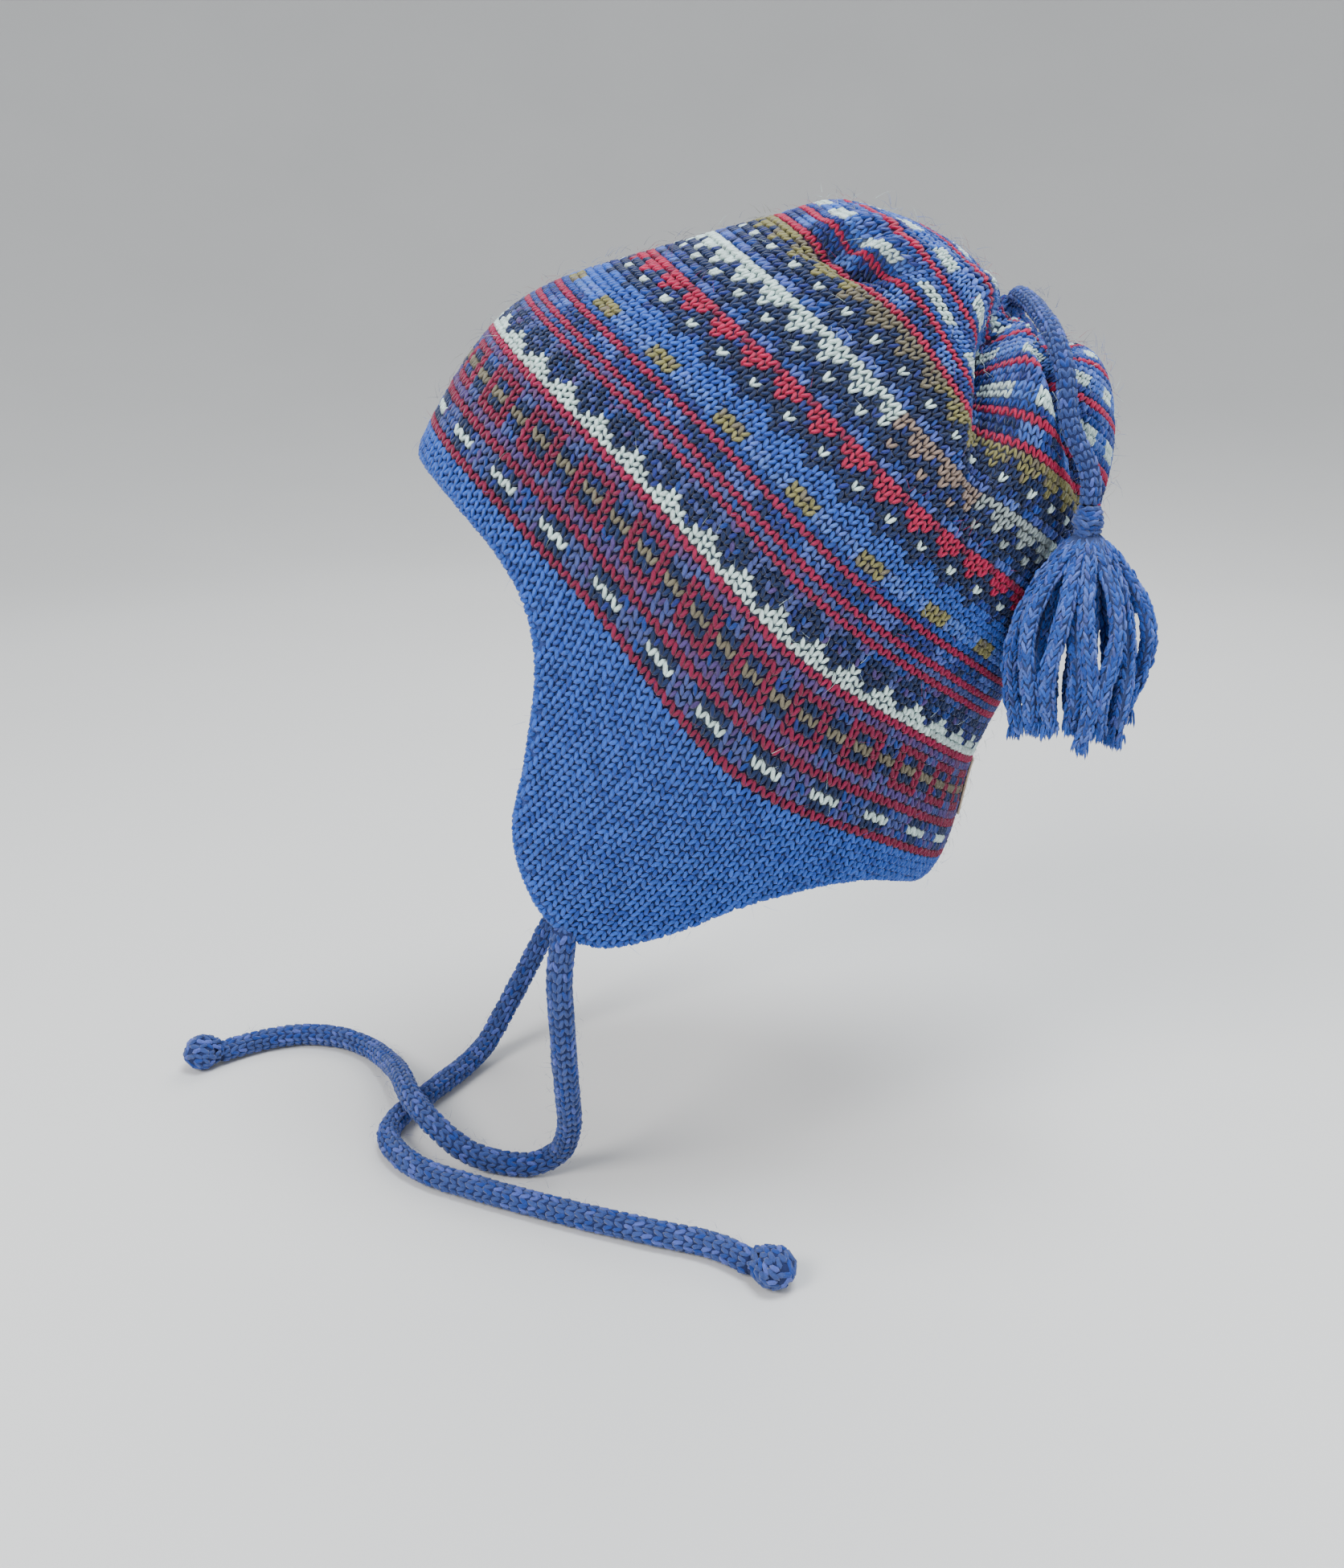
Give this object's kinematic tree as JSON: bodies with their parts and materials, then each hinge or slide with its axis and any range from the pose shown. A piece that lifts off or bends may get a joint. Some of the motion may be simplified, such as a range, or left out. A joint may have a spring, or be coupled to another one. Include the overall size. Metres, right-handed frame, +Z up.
{
  "type": "chullo hat",
  "caption": "Knitted winter hat: banded patterned crown gathered at the top, plain ear flaps, a tassel on a braid, and round ties with knobs that lie on the table below.",
  "frame": {"origin": "inside of the crown where the top of the wearer's head bears", "axes": "+Z up as worn, the brow faces -Y, and the wearer's left ear is on +X"},
  "size_m": [0.1867, 0.3516, 0.336],
  "materials": {
    "patterned_knit": "stranded wool knit in blue, navy, red, burgundy, white and olive",
    "blue_knit": "plain periwinkle wool knit",
    "blue_cord": "round knitted wool cord",
    "blue_yarn": "plied wool strands",
    "label_cloth": "plain woven patch"
  },
  "bodies": {
    "root": {"crown": "patterned_knit", "earflap_band": "blue_knit", "nape_label": "label_cloth", "tassel_braid": "blue_cord", "tassel_knot": "blue_cord", "tassel": "blue_yarn", "tie_left": "blue_cord", "tie_left_knob": "blue_cord", "tie_right": "blue_cord", "tie_right_knob": "blue_cord"}
  },
  "joints": []
}
